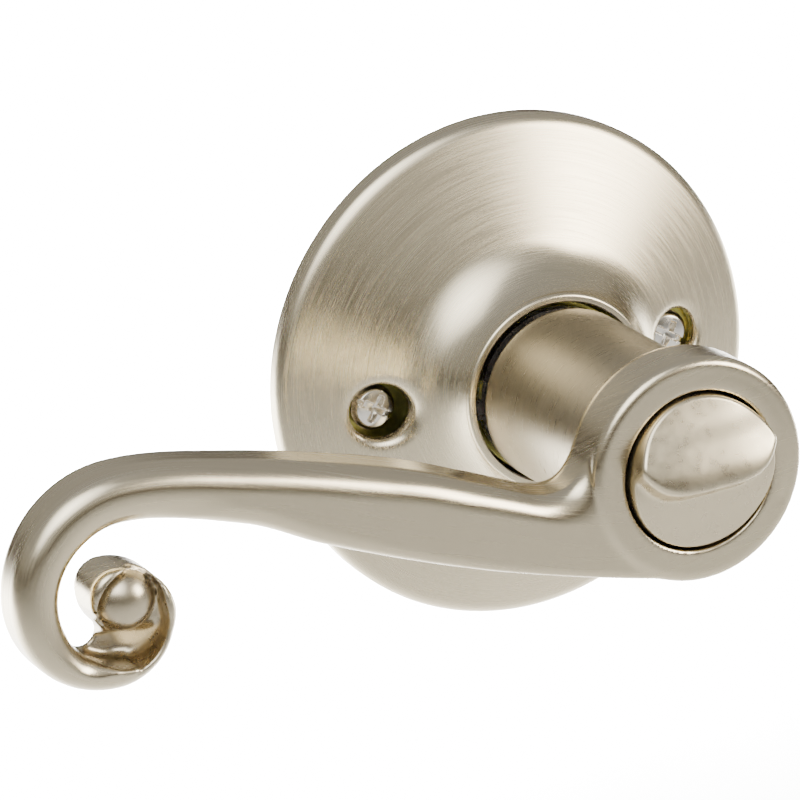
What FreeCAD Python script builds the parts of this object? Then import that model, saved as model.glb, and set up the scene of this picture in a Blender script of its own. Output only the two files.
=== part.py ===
import FreeCAD, Part
import math
import os

from FreeCAD import Vector

# Door lever handle, inside half, with a scrolled lever and a turn button in its head.
# Row frame: the origin is the centre of the rose's back face on the door, +Z is up, the
# spindle lies along Y, and -Y points out into the room. Lengths are millimetres.
#
# Every piece is drawn in a working frame and turned into the row frame at export:
#   u = row X, v = row Z, and h = the distance out from the door face (row -Y).

# ---- driving dimensions -------------------------------------------------------------
ROSE_R = 33.35
ROSE_WALL = 1.15
ROSE_RIM_H = 1.7
ROSE_CONE_R = 32.0
ROSE_CONE_H = 3.2
FLARE_R = 19.3
FLARE_H = 8.6
FLARE_RADIUS = 11.5
LIP_ANGLE = 19.3
COLLAR_BORE_R = 11.83
COLLAR_H = 16.1
COLLAR_TAPER = 0.35

SCREW_OFFSET = 21.07
SCREW_THREAD_R = 2.05
SCREW_SHANK_R = 1.75
SCREW_THREAD_H = -14.8
SCREW_HEAD_R = 3.0
SCREW_HEAD_H = 2.3
SCREW_LENGTH = 23.2
SCREW_RECESS = 1.2
SCREW_HEAD_ROUND = 0.8
SCREW_SLOT = (0.9, 4.4)
SCREW_CROSS = (3.6, 0.9)
THREAD_CHAMFER = 0.4
THREAD_CLEARANCE = 0.25
POST_CLEARANCE = 0.35
ROSE_HOLE_R = 3.75
DIMPLE_R = 5.0
DIMPLE_FLOOR_H = 5.9
DIMPLE_DEPTH = 1.6
DIMPLE_WALL = (0.4, 0.9)
CLIP_LEAF = (3.8, 4.0, 0.6)
CLIP_LEAF_R = 29.5
CLIP_LEG = (0.6, 4.0, 0.8)
CLIP_LEG_R = 31.1
CLIP_ANGLES = (90, 210, 330)

FLANGE_R = 29.6
FLANGE_T = 1.2
PLATE_R = 27.5
PLATE_TOP = 3.2
PLATE_COLLAR_R = 11.3
BUSH_R = 10.4
BUSH_TOP = 14.0
BUSH_FLANGE_R = 12.6
PLATE_COLLAR_GAP = 0.6
HOUSING_R = 24.5
HOUSING_WALL = 1.2
HOUSING_DEPTH = 14.5
POST_R = 3.9
RIVET_CIRCLE_R = 25.7
RIVET_COUNT = 4
RIVET_R = 1.3
RIVET_HEAD_R = 1.8
RIVET_HEAD_T = 0.4
SPRING_LUG = (3.6, 3.0)
SPRING_LUG_R = 18.4

HUB_R = 9.2
HUB_BORE_R = 5.9
HUB_TOP = 33.0
HUB_SHOULDER_R = 10.4
HUB_TAIL_R = 7.5
HUB_TAIL_H = -15.5
RUNNING_GAP = 0.05
AXIAL_GAP = 0.1
WASHER_T = 0.6
WASHER_R = 12.0
HUB_RING_T = 0.9
HUB_RING_R = 10.9
CAM_RING_T = 0.6
CAM_RING_R = 9.4
HUB_GROOVE = 0.6
TAIL_GROOVE = 0.5
SOCKET_TOP_H = -5.0
SET_SCREW_H = 26.0
SET_SCREW_R = 1.95
SET_SCREW_HOLE_R = 2.0
SET_SCREW_LENGTH = 4.0
SET_SCREW_HEX = (2.0, 1.8)
SET_SCREW_START = 7.3

CAM_H = (-12.3, -10.5)
CAM_R = 13.6
CAM_TAB_WIDTH = 3.6
CAM_TAB_R = 15.3
CAM_TAB_TOP = -2.2
CAM_TAB_T = 1.6
CAM_FLAT = 1.2
SPRING_MEAN_R = 12.2
SPRING_WIRE_R = 1.0
SPRING_PITCH = 2.2
SPRING_TURNS = 3
SPRING_START_H = -9.2
SPRING_LEG_R = 18.6
SPRING_LEG_OFFSET = 3.2

SPINDLE_SIDE = 8.0
SPINDLE_BORE_R = 2.9
SPINDLE_H = (-45.0, -1.5)
SPINDLE_CORNER_R = 5.5
SPINDLE_GROOVE_R = 4.7
SPINDLE_RING_H = (-4.35, -3.55)
SPINDLE_RING_R = 5.8
BLADE_SIZE = (5.0, 1.6)
BLADE_H = (-42.0, 40.0)

NECK_R = 11.4
NECK_REAR_H = 17.4
NECK_BORE_TOP = 36.0
HEAD_R = 14.2
HEAD_BACK_H = 43.7
HEAD_BACK_R = 11.6
HEAD_FLARE_H = 48.0
HEAD_FACE_H = 54.4
CAVITY_R = 10.1
CAVITY_FLOOR_H = 45.0

BUTTON_R = 9.7
BUTTON_BACK_H = 46.2
STEM_R = 3.45
STEM_END_H = 33.6
CLIP_GROOVE = 0.5
BUTTON_CLIP_H = (34.6, 35.4)
BUTTON_CLIP_R = 6.2
PIN_R = 0.8
PIN_LENGTH = 6.6
PIN_H = 38.0

# Lever outline, seen from the front: quarter-turn arcs of the scroll, out to in.
SCROLL_TOP = (-73.2, 17.5)
SCROLL_LEFT = (-88.1, 2.6)
SCROLL_BOTTOM = (-76.4, -9.1)
EYE_LOW_R = 8.0
EYE_TOP_R = 7.1
CURL_R = 3.3
GAP_TOP = (-73.7, 10.9)
GAP_LEFT_U = -82.5
GAP_END_ANGLE = 222.0
ARM_TOP_EDGE = [(-57.3, 14.7), (-38.1, 8.9), (-28.0, 4.6), (-19.0, 0.4)]
ARM_LOW_EDGE = [(-18.9, -9.2), (-34.5, -3.8), (-48.7, 2.2), (-58.7, 7.2)]
ARM_PEAK = (-11.6, 2.6)
ARM_ROOT = (-2.5, -13.98)
ARM_FRONT = [(0.0, 54.2), (-95.0, 52.3)]
ARM_BACK = [(-95.0, 44.6), (0.0, 43.4)]
ARM_DEPTH = ARM_FRONT[-1][1] - ARM_BACK[0][1]
ARM_ROUND = 2.0
BOSS_R = 3.3
BOSS_TOP_H = 52.6
WEB_H = 49.0
BOSS_CENTRE = (-73.9, 1.1)
POCKET_R = 4.1
POCKET_CENTRE = (-73.6, -0.4)

OUT = Vector(0, 0, 1)


# ---- shape helpers --------------------------------------------------------------------
def disc(r, h0, h1, u=0.0, v=0.0):
    return Part.makeCylinder(r, h1 - h0, Vector(u, v, h0), OUT)


def tube(r_out, r_in, h0, h1):
    return disc(r_out, h0, h1).cut(disc(r_in, h0 - 1, h1 + 1))


def block(size_u, size_v, h0, h1, u=0.0, v=0.0):
    corner = Vector(u - size_u / 2, v - size_v / 2, h0)
    return Part.makeBox(size_u, size_v, h1 - h0, corner)


def turned(shape, degrees):
    copy = shape.copy()
    copy.rotate(Vector(0, 0, 0), OUT, degrees)
    return copy


def line(a, b):
    return Part.LineSegment(Vector(*a), Vector(*b)).toShape()


def arc(a, through, b):
    return Part.Arc(Vector(*a), Vector(*through), Vector(*b)).toShape()


def spline(points, start_tangent=None, end_tangent=None):
    curve = Part.BSplineCurve()
    vectors = [Vector(*p) for p in points]
    if start_tangent is None:
        curve.interpolate(vectors)
    else:
        curve.interpolate(vectors, InitialTangent=Vector(*start_tangent), FinalTangent=Vector(*end_tangent))
    return curve.toShape()


def ring_of(r_h_points):
    """A solid of revolution about the spindle axis, from a closed outline of (r, h) points."""
    corners = [Vector(r, 0, h) for r, h in r_h_points]
    face = Part.Face(Part.makePolygon(corners + corners[:1]))
    return face.revolve(Vector(0, 0, 0), OUT, 360)


def quarter(centre, radius, degrees):
    """A quarter-turn arc in the lever's plane, from the angle given, turning anticlockwise."""
    at = []
    for step in (0, 45, 90):
        angle = math.radians(degrees + step)
        at.append((centre[0] + radius * math.cos(angle), centre[1] + radius * math.sin(angle), 0))
    return arc(*at)


def shorter_arc(a, b, centre):
    """The circular arc from a to b about centre, the shorter way round."""
    radius = math.hypot(a[0] - centre[0], a[1] - centre[1])
    start = math.atan2(a[1] - centre[1], a[0] - centre[0])
    sweep = math.atan2(b[1] - centre[1], b[0] - centre[0]) - start
    sweep = (sweep + math.pi) % (2 * math.pi) - math.pi
    middle = start + sweep / 2
    through = (centre[0] + radius * math.cos(middle), centre[1] + radius * math.sin(middle), 0)
    return arc((a[0], a[1], 0), through, (b[0], b[1], 0))


# ---- fixed pieces ---------------------------------------------------------------------
def rose_profile(offset):
    """Edges of the rose's section from its rim to its collar lip, moved inwards by offset."""
    slope = math.atan2(FLARE_H - ROSE_CONE_H, ROSE_CONE_R - FLARE_R)
    shift = (offset * math.sin(slope), offset * math.cos(slope))
    rim_r = ROSE_R - offset
    cone_low = (ROSE_CONE_R - shift[0], 0, ROSE_CONE_H - shift[1])
    cone_high = (FLARE_R - shift[0], 0, FLARE_H - shift[1])
    centre = (FLARE_R + FLARE_RADIUS * math.sin(slope), FLARE_H + FLARE_RADIUS * math.cos(slope))
    radius = FLARE_RADIUS + offset
    start = math.pi / 2 - slope
    end = math.radians(LIP_ANGLE)

    def on_flare(angle):
        return (centre[0] - radius * math.cos(angle), 0, centre[1] - radius * math.sin(angle))

    rim_top = (rim_r, 0, max(ROSE_RIM_H - offset, 0.3))
    return [
        line((rim_r, 0, 0), rim_top),
        line(rim_top, cone_low),
        line(cone_low, cone_high),
        arc(cone_high, on_flare((start + end) / 2), on_flare(end)),
    ]


def under_skin(offset):
    """The solid below the rose's section moved inwards by offset, up to the collar's top."""
    edges = rose_profile(offset)
    lip = edges[-1].Vertexes[-1].Point
    top = COLLAR_H + (1 if offset else 0)
    edges += [
        line(tuple(lip), (lip.x - COLLAR_TAPER, 0, top)),
        line((lip.x - COLLAR_TAPER, 0, top), (0, 0, top)),
        line((0, 0, top), (0, 0, 0)),
        line((0, 0, 0), tuple(edges[0].Vertexes[0].Point)),
    ]
    return Part.Face(Part.Wire(Part.__sortEdges__(edges))).revolve(Vector(0, 0, 0), OUT, 360)


def make_rose():
    skin = under_skin(0.0)
    shell = skin.cut(under_skin(ROSE_WALL)).cut(disc(COLLAR_BORE_R, -1, COLLAR_H + 1))
    for side in (-1, 1):
        u = side * SCREW_OFFSET
        cup = disc(DIMPLE_R + DIMPLE_WALL[0], DIMPLE_FLOOR_H - DIMPLE_WALL[1], COLLAR_H, u).common(skin)
        funnel = Part.makeCone(ROSE_HOLE_R, DIMPLE_R, DIMPLE_DEPTH, Vector(u, 0, DIMPLE_FLOOR_H), OUT)
        mouth = disc(DIMPLE_R, DIMPLE_FLOOR_H + DIMPLE_DEPTH, COLLAR_H, u)
        hole = disc(ROSE_HOLE_R, -1, COLLAR_H, u)
        shell = shell.fuse(cup).cut(funnel).cut(mouth).cut(hole)
    return [shell.removeSplitter()]


def make_mounting_plate():
    collar = disc(PLATE_COLLAR_R, FLANGE_T, BUSH_TOP - PLATE_COLLAR_GAP)
    plate = disc(PLATE_R, FLANGE_T, PLATE_TOP).fuse(collar)
    plate = plate.cut(disc(BUSH_R, -1, BUSH_TOP + 1))
    for side in (-1, 1):
        plate = plate.cut(disc(SCREW_THREAD_R + THREAD_CLEARANCE, -1, PLATE_TOP + 1, side * SCREW_OFFSET))
    for angle in rivet_angles():
        plate = plate.cut(turned(disc(RIVET_R, -1, PLATE_TOP + 1, RIVET_CIRCLE_R), angle))
    return [plate.removeSplitter()]


def make_spring_housing():
    cup = disc(HOUSING_R, -HOUSING_DEPTH, FLANGE_T).fuse(disc(FLANGE_R, 0, FLANGE_T))
    cup = cup.cut(disc(HOUSING_R - HOUSING_WALL, HOUSING_WALL - HOUSING_DEPTH, 2))
    lug = block(*SPRING_LUG, -HOUSING_DEPTH + 0.5, -WASHER_T, 0, SPRING_LUG_R)
    cup = cup.fuse(lug)
    for side in (-1, 1):
        cup = cup.fuse(disc(POST_R, -HOUSING_DEPTH + 0.5, FLANGE_T, side * SCREW_OFFSET))
    inside = disc(FLANGE_R, -HOUSING_DEPTH, FLANGE_T)
    cup = cup.common(inside).cut(disc(HUB_TAIL_R + 0.6, -HOUSING_DEPTH - 1, 0))
    for side in (-1, 1):
        cup = cup.cut(disc(SCREW_THREAD_R + POST_CLEARANCE, -HOUSING_DEPTH - 1, 2, side * SCREW_OFFSET))
    for angle in rivet_angles():
        cup = cup.cut(turned(disc(RIVET_R, -HOUSING_DEPTH, 2, RIVET_CIRCLE_R), angle))
    return [cup.removeSplitter()]


def rivet_angles():
    return [45 + 360 / RIVET_COUNT * i for i in range(RIVET_COUNT)]


def make_housing_rivets():
    shank = disc(RIVET_R, 0.05, PLATE_TOP, RIVET_CIRCLE_R)
    rivet = shank.fuse(disc(RIVET_HEAD_R, PLATE_TOP, PLATE_TOP + RIVET_HEAD_T, RIVET_CIRCLE_R))
    return [turned(rivet.removeSplitter(), angle) for angle in rivet_angles()]


def make_mounting_screws():
    screws = []
    for side in (-1, 1):
        u = side * SCREW_OFFSET
        top = PLATE_TOP + SCREW_HEAD_H
        head = disc(SCREW_HEAD_R, PLATE_TOP, top, u)
        head = head.makeFillet(SCREW_HEAD_ROUND, [head.Edges[0]])
        cross = block(*SCREW_CROSS, top - SCREW_RECESS, top + 1, u)
        recess = cross.fuse(block(*SCREW_SLOT, top - SCREW_RECESS, top + 1, u))
        shank = disc(SCREW_SHANK_R, SCREW_THREAD_H - 1, PLATE_TOP, u)
        thread = disc(SCREW_THREAD_R, PLATE_TOP - SCREW_LENGTH, SCREW_THREAD_H, u)
        thread = thread.makeChamfer(THREAD_CHAMFER, [thread.Edges[0], thread.Edges[2]])
        screws.append(head.cut(recess).fuse(shank).fuse(thread).removeSplitter())
    return screws


def make_hub_bushing():
    bush = tube(BUSH_R, HUB_R + RUNNING_GAP, AXIAL_GAP, BUSH_TOP)
    flange = tube(BUSH_FLANGE_R, HUB_R + RUNNING_GAP, AXIAL_GAP, FLANGE_T)
    return [bush.fuse(flange).removeSplitter()]


def make_rose_clips():
    leaf = block(CLIP_LEAF[0], CLIP_LEAF[1], FLANGE_T, FLANGE_T + CLIP_LEAF[2], CLIP_LEAF_R)
    leg = block(CLIP_LEG[0], CLIP_LEG[1], FLANGE_T, FLANGE_T + CLIP_LEG[2], CLIP_LEG_R)
    clip = leaf.fuse(leg).removeSplitter()
    return [turned(clip, angle) for angle in CLIP_ANGLES]


def make_return_spring():
    """A torsion spring: close coils about the hub, with both legs reaching out at the top."""
    half = math.degrees(math.asin(SPRING_LEG_OFFSET / SPRING_MEAN_R))
    turns = SPRING_TURNS + 2 * half / 360
    height = SPRING_PITCH * turns
    helix = Part.makeHelix(SPRING_PITCH, height, SPRING_MEAN_R)
    section = Part.Wire(Part.Circle(Vector(SPRING_MEAN_R, 0, 0), Vector(0, 1, 0), SPRING_WIRE_R).toShape())
    coil = Part.Wire(helix).makePipeShell([section], True, True)
    coil.rotate(Vector(0, 0, 0), OUT, 90 - half)
    coil.translate(Vector(0, 0, SPRING_START_H))
    legs = []
    reach = SPRING_LEG_R - SPRING_MEAN_R
    for side, h in ((1, SPRING_START_H), (-1, SPRING_START_H + height)):
        foot = Vector(side * SPRING_LEG_OFFSET, math.sqrt(SPRING_MEAN_R**2 - SPRING_LEG_OFFSET**2), h)
        legs.append(Part.makeCylinder(SPRING_WIRE_R, reach, foot, Vector(0, 1, 0)))
        legs.append(Part.makeSphere(SPRING_WIRE_R, foot))
    return [coil.fuse(legs).removeSplitter()]


# ---- pieces that turn with the lever -----------------------------------------------------
def arm_outline():
    """The closed outline of arm and scroll, through the head to the eye and back."""
    top_centre = (SCROLL_TOP[0], SCROLL_LEFT[1])
    bottom_centre = (SCROLL_BOTTOM[0], SCROLL_LEFT[1])
    eye_low_centre = (SCROLL_BOTTOM[0], SCROLL_BOTTOM[1] + EYE_LOW_R)
    eye_top_centre = (eye_low_centre[0] + EYE_LOW_R - EYE_TOP_R, eye_low_centre[1])
    curl_centre = (eye_top_centre[0], eye_top_centre[1] + EYE_TOP_R - CURL_R)
    curl_left = (curl_centre[0] - CURL_R, curl_centre[1], 0)
    gap_r = GAP_TOP[0] - GAP_LEFT_U
    gap_centre = (GAP_TOP[0], GAP_TOP[1] - gap_r)
    curl_wall_r = gap_centre[0] - curl_left[0]
    half_turn = (180 + GAP_END_ANGLE) / 2

    def about_gap(radius, degrees):
        angle = math.radians(degrees)
        return (gap_centre[0] + radius * math.cos(angle), gap_centre[1] + radius * math.sin(angle), 0)

    wall_end = about_gap(curl_wall_r, GAP_END_ANGLE)
    end_middle = about_gap((gap_r + curl_wall_r) / 2, GAP_END_ANGLE)
    end_r = (gap_r - curl_wall_r) / 2
    end_way = math.radians(GAP_END_ANGLE + 90)
    end_tip = (end_middle[0] + end_r * math.cos(end_way), end_middle[1] + end_r * math.sin(end_way), 0)
    low = [ARM_ROOT] + ARM_LOW_EDGE + [GAP_TOP]
    top = [SCROLL_TOP] + ARM_TOP_EDGE
    flat = [(p[0], p[1], 0) for p in low]
    upper = [(p[0], p[1], 0) for p in top]
    edges = [
        spline(flat, (-12, 2, 0), (-12, 0, 0)),
        shorter_arc(GAP_TOP, about_gap(gap_r, 180), gap_centre),
        arc(about_gap(gap_r, 180), about_gap(gap_r, half_turn), about_gap(gap_r, GAP_END_ANGLE)),
        arc(about_gap(gap_r, GAP_END_ANGLE), end_tip, wall_end),
        arc(wall_end, about_gap(curl_wall_r, half_turn), about_gap(curl_wall_r, 180)),
        line(about_gap(curl_wall_r, 180), curl_left),
        quarter(curl_centre, CURL_R, 90),
        quarter(eye_top_centre, EYE_TOP_R, 0),
        quarter(eye_low_centre, EYE_LOW_R, 270),
        quarter(bottom_centre, SCROLL_LEFT[1] - SCROLL_BOTTOM[1], 180),
        quarter(top_centre, SCROLL_TOP[0] - SCROLL_LEFT[0], 90),
        spline(upper, (12, 0, 0), (8, -5, 0)),
        line((*ARM_TOP_EDGE[-1], 0), (*ARM_PEAK, 0)),
        line((*ARM_PEAK, 0), (0, 0, 0)),
        line((0, 0, 0), (*ARM_ROOT, 0)),
    ]
    return Part.Wire(Part.__sortEdges__(edges))


def make_arm():
    """The outline's prism, tapered from front to back, with its two rims rounded."""
    slab = Part.Face(arm_outline()).extrude(Vector(0, 0, 60))
    sides = [Vector(u, -30, h) for u, h in ARM_FRONT + ARM_BACK]
    taper = Part.Face(Part.makePolygon(sides + sides[:1])).extrude(Vector(0, 60, 0))
    arm = slab.common(taper).removeSplitter().Solids[0]
    rims = []
    for edge in arm.Edges:
        box = edge.BoundBox
        if box.ZLength < ARM_DEPTH / 2 and box.XMax < ARM_ROOT[0] + 0.1:
            rims.append(edge)
    return arm.makeFillet(ARM_ROUND, rims)


def make_lever():
    arm = make_arm()
    pocket = disc(POCKET_R, WEB_H, HEAD_FACE_H + 1, *POCKET_CENTRE)
    boss = disc(BOSS_R, WEB_H - 1, BOSS_TOP_H, *BOSS_CENTRE)
    arm = arm.cut(pocket).fuse(boss)
    flare_depth = HEAD_FLARE_H - HEAD_BACK_H
    flare = Part.makeCone(HEAD_BACK_R, HEAD_R, flare_depth, Vector(0, 0, HEAD_BACK_H), OUT)
    head = flare.fuse(disc(HEAD_R, HEAD_FLARE_H, HEAD_FACE_H))
    neck = disc(NECK_R, NECK_REAR_H, HEAD_BACK_H + 1)
    body = head.fuse(neck).fuse(arm)
    body = body.cut(disc(CAVITY_R, CAVITY_FLOOR_H, 70))
    body = body.cut(disc(HUB_R + RUNNING_GAP, 0, NECK_BORE_TOP))
    body = body.cut(disc(STEM_R + RUNNING_GAP, 0, CAVITY_FLOOR_H + 1))
    body = body.cut(set_screw_hole())
    return [body.removeSplitter()]


def set_screw_hole():
    """A radial hole under the neck, through its wall and into the hub."""
    start = Vector(0, 0.1 - SET_SCREW_START, SET_SCREW_H)
    return Part.makeCylinder(SET_SCREW_HOLE_R, SET_SCREW_LENGTH + 1, start, Vector(0, -1, 0))


def make_lever_set_screw():
    start = Vector(0, -SET_SCREW_START, SET_SCREW_H)
    screw = Part.makeCylinder(SET_SCREW_R, SET_SCREW_LENGTH, start, Vector(0, -1, 0))
    socket = hexagon(*SET_SCREW_HEX)
    socket.rotate(Vector(0, 0, 0), Vector(1, 0, 0), 90)
    socket_floor = SET_SCREW_HEX[1] - 0.1 - SET_SCREW_START - SET_SCREW_LENGTH
    socket.translate(Vector(0, socket_floor, SET_SCREW_H))
    return [screw.cut(socket)]


def hexagon(across_flats, height):
    corner = across_flats / math.sqrt(3)
    points = []
    for i in range(7):
        angle = math.radians(60 * i)
        points.append(Vector(corner * math.cos(angle), corner * math.sin(angle), 0))
    return Part.Face(Part.makePolygon(points)).extrude(Vector(0, 0, height))


def make_drive_hub():
    shoulder_h = -AXIAL_GAP - WASHER_T
    groove_h = BUSH_TOP + 0.55
    body = disc(HUB_R, shoulder_h, HUB_TOP)
    body = body.fuse(disc(HUB_SHOULDER_R, CAM_H[1], shoulder_h))
    body = body.fuse(disc(HUB_TAIL_R, HUB_TAIL_H, CAM_H[1]))
    body = body.cut(disc(HUB_BORE_R, SOCKET_TOP_H - 1, HUB_TOP + 1))
    body = body.cut(block(SPINDLE_SIDE + 0.1, SPINDLE_SIDE + 0.1, HUB_TAIL_H - 1, SOCKET_TOP_H))
    body = body.cut(tube(HUB_R + 1, HUB_R - HUB_GROOVE, groove_h, groove_h + HUB_RING_T + 0.1))
    tail_groove = (CAM_H[0] - CAM_RING_T - 0.15, CAM_H[0] - RUNNING_GAP)
    body = body.cut(tube(HUB_TAIL_R + 1, HUB_TAIL_R - TAIL_GROOVE, *tail_groove))
    for side in (-1, 1):
        body = body.cut(block(2.0, 20.0, CAM_H[0], CAM_H[1], side * (HUB_TAIL_R - 0.2)))
    return [body.cut(set_screw_hole()).removeSplitter()]


def make_driver_cam():
    """The flat cam on the hub's tail; its bent tab stands between the spring's legs."""
    cam = disc(CAM_R, *CAM_H)
    arm_end = CAM_TAB_R + CAM_TAB_T / 2
    arm_start = HUB_TAIL_R - 0.4
    cam = cam.fuse(block(CAM_TAB_WIDTH, arm_end - arm_start, *CAM_H, 0, (arm_end + arm_start) / 2))
    cam = cam.fuse(block(CAM_TAB_WIDTH, CAM_TAB_T, CAM_H[0], CAM_TAB_TOP, 0, CAM_TAB_R))
    seat = disc(HUB_TAIL_R, CAM_H[0] - 1, CAM_H[1] + 1)
    seat = seat.common(block(2 * (HUB_TAIL_R - CAM_FLAT), 30, CAM_H[0] - 1, CAM_H[1] + 1))
    return [cam.cut(seat).removeSplitter()]


def make_cam_retaining_ring():
    low = CAM_H[0] - CAM_RING_T - 0.1
    ring = tube(CAM_RING_R, HUB_TAIL_R - TAIL_GROOVE, low, low + CAM_RING_T)
    return [ring.cut(block(3.0, 6.0, CAM_H[0] - 2, CAM_H[0], 0, -9.0))]


def make_hub_thrust_washer():
    return [tube(WASHER_R, HUB_R + RUNNING_GAP, -AXIAL_GAP - WASHER_T, -AXIAL_GAP)]


def make_wave_washer():
    """A shallow dished spring washer between the bushing and the retaining ring."""
    low = BUSH_TOP + 0.05
    return [ring_of([(9.3, low), (10.9, low + 0.15), (10.9, low + 0.45), (9.3, low + 0.3)])]


def make_hub_retaining_ring():
    """A snap ring in the hub's groove, open at the right, with its ear at the left."""
    low = BUSH_TOP + 0.6
    ring = tube(HUB_RING_R, HUB_R - HUB_GROOVE, low, low + HUB_RING_T)
    ear = block(1.0, 2.4, low, low + HUB_RING_T, -11.0)
    return [ring.fuse(ear).cut(block(4.0, 3.0, low - 1, low + 2, 10.4)).removeSplitter()]


def make_spindle():
    bar = block(SPINDLE_SIDE, SPINDLE_SIDE, *SPINDLE_H).common(disc(SPINDLE_CORNER_R, *SPINDLE_H))
    bar = bar.cut(disc(SPINDLE_BORE_R, SPINDLE_H[0] - 1, SPINDLE_H[1] + 1))
    groove = tube(SPINDLE_SIDE, SPINDLE_GROOVE_R, SPINDLE_RING_H[0] - 0.05, SPINDLE_RING_H[1] + 0.05)
    return [bar.cut(groove).removeSplitter()]


def make_spindle_ring():
    ring = tube(SPINDLE_RING_R, SPINDLE_GROOVE_R, *SPINDLE_RING_H)
    return [ring.cut(block(4.0, 3.0, -6, -2, 5.4)).cut(disc(SPINDLE_BORE_R, -6, -2))]


# ---- the turn button and its blade --------------------------------------------------------
def button_face():
    """Section of the button's front: a finger scoop, a lip, a valley and a ramp."""
    return [
        spline([(0, 9.9, 54.6), (0, 6.2, 56.2), (0, 3.4, 58.6), (0, 1.4, 59.5)]),
        arc((0, 1.4, 59.5), (0, 0.0, 59.7), (0, -0.9, 58.9)),
        line((0, -0.9, 58.9), (0, -3.0, 56.7)),
        line((0, -3.0, 56.7), (0, -9.9, 54.3)),
    ]


def make_turn_button():
    edges = button_face()
    edges += [
        line((0, -9.9, 54.3), (0, -9.9, BUTTON_BACK_H)),
        line((0, -9.9, BUTTON_BACK_H), (0, 9.9, BUTTON_BACK_H)),
        line((0, 9.9, BUTTON_BACK_H), (0, 9.9, 54.6)),
    ]
    bar = Part.Face(Part.Wire(edges)).extrude(Vector(30, 0, 0))
    bar.translate(Vector(-15, 0, 0))
    knob = disc(BUTTON_R, BUTTON_BACK_H, 60).common(bar)
    stem = disc(STEM_R, STEM_END_H, BUTTON_BACK_H + 1)
    knob = knob.fuse(stem)
    groove = tube(STEM_R + 1, STEM_R - CLIP_GROOVE, BUTTON_CLIP_H[0] - 0.05, BUTTON_CLIP_H[1] + 0.05)
    knob = knob.cut(groove)
    knob = knob.cut(block(BLADE_SIZE[0] + 0.1, BLADE_SIZE[1] + 0.1, STEM_END_H - 1, BLADE_H[1] + 0.1))
    return [knob.cut(cross_pin()).removeSplitter()]


def cross_pin():
    """A pin across the stem and the blade, at the middle of the blade's seat."""
    return Part.makeCylinder(PIN_R, PIN_LENGTH, Vector(0, -PIN_LENGTH / 2, PIN_H), Vector(0, 1, 0))


def make_turn_bar():
    return [block(*BLADE_SIZE, *BLADE_H).cut(cross_pin())]


def make_turn_bar_pin():
    return [cross_pin()]


def make_button_clip():
    ring = tube(BUTTON_CLIP_R, STEM_R - CLIP_GROOVE, *BUTTON_CLIP_H)
    return [ring.cut(block(4.0, 3.0, BUTTON_CLIP_H[0] - 1, BUTTON_CLIP_H[1] + 1, 5.0))]


def make_button_spring_washer():
    """A dished washer that holds the button firm in its cavity."""
    low = CAVITY_FLOOR_H
    return [ring_of([(4.6, low + 0.75), (8.6, low), (8.6, low + 0.3), (4.6, low + 1.05)])]


# ---- export ------------------------------------------------------------------------------
NODES = {
    "rose": make_rose,
    "mounting_plate": make_mounting_plate,
    "spring_housing": make_spring_housing,
    "housing_rivets": make_housing_rivets,
    "mounting_screws": make_mounting_screws,
    "hub_bushing": make_hub_bushing,
    "rose_clips": make_rose_clips,
    "return_spring": make_return_spring,
    "lever": make_lever,
    "lever_set_screw": make_lever_set_screw,
    "drive_hub": make_drive_hub,
    "driver_cam": make_driver_cam,
    "cam_retaining_ring": make_cam_retaining_ring,
    "hub_thrust_washer": make_hub_thrust_washer,
    "wave_washer": make_wave_washer,
    "hub_retaining_ring": make_hub_retaining_ring,
    "spindle": make_spindle,
    "spindle_ring": make_spindle_ring,
    "turn_button": make_turn_button,
    "turn_bar": make_turn_bar,
    "turn_bar_pin": make_turn_bar_pin,
    "button_clip": make_button_clip,
    "button_spring_washer": make_button_spring_washer,
}


def export(name, solids):
    shape = solids[0] if len(solids) == 1 else Part.makeCompound(solids)
    shape = shape.copy()
    shape.rotate(Vector(0, 0, 0), Vector(1, 0, 0), 90)
    shape.exportStep("parts/" + name + ".step")
    box = shape.BoundBox
    spans = [(box.XMin, box.XMax), (box.YMin, box.YMax), (box.ZMin, box.ZMax)]
    sides = " ".join(f"{low:.1f}..{high:.1f}" for low, high in spans)
    print(f"{name:22s} solids {len(shape.Solids)} valid {shape.isValid()} volume {shape.Volume:9.1f} {sides}")


os.makedirs("parts", exist_ok=True)
for name, make in NODES.items():
    export(name, make())
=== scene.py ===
import math
import bmesh
import bpy
import numpy as np
from mathutils import Matrix, Vector


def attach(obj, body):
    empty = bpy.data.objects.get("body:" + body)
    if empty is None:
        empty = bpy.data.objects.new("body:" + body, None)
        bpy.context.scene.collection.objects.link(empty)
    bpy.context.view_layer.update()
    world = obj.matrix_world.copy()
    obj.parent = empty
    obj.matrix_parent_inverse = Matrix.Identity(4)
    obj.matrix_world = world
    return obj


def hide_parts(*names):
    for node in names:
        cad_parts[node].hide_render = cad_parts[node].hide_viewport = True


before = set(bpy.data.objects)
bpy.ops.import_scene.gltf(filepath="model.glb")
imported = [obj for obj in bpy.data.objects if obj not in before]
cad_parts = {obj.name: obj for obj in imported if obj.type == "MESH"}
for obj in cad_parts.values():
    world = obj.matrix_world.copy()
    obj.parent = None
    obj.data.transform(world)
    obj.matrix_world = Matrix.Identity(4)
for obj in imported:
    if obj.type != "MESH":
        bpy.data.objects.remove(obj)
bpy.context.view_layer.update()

# Door lever handle. Shapes are worked out in millimetres in a bench frame:
#   u = across the door (row X), v = up (row Z), h = out from the door face (row -Y).
# bench_to_row turns a finished piece into the row frame, in metres.

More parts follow.
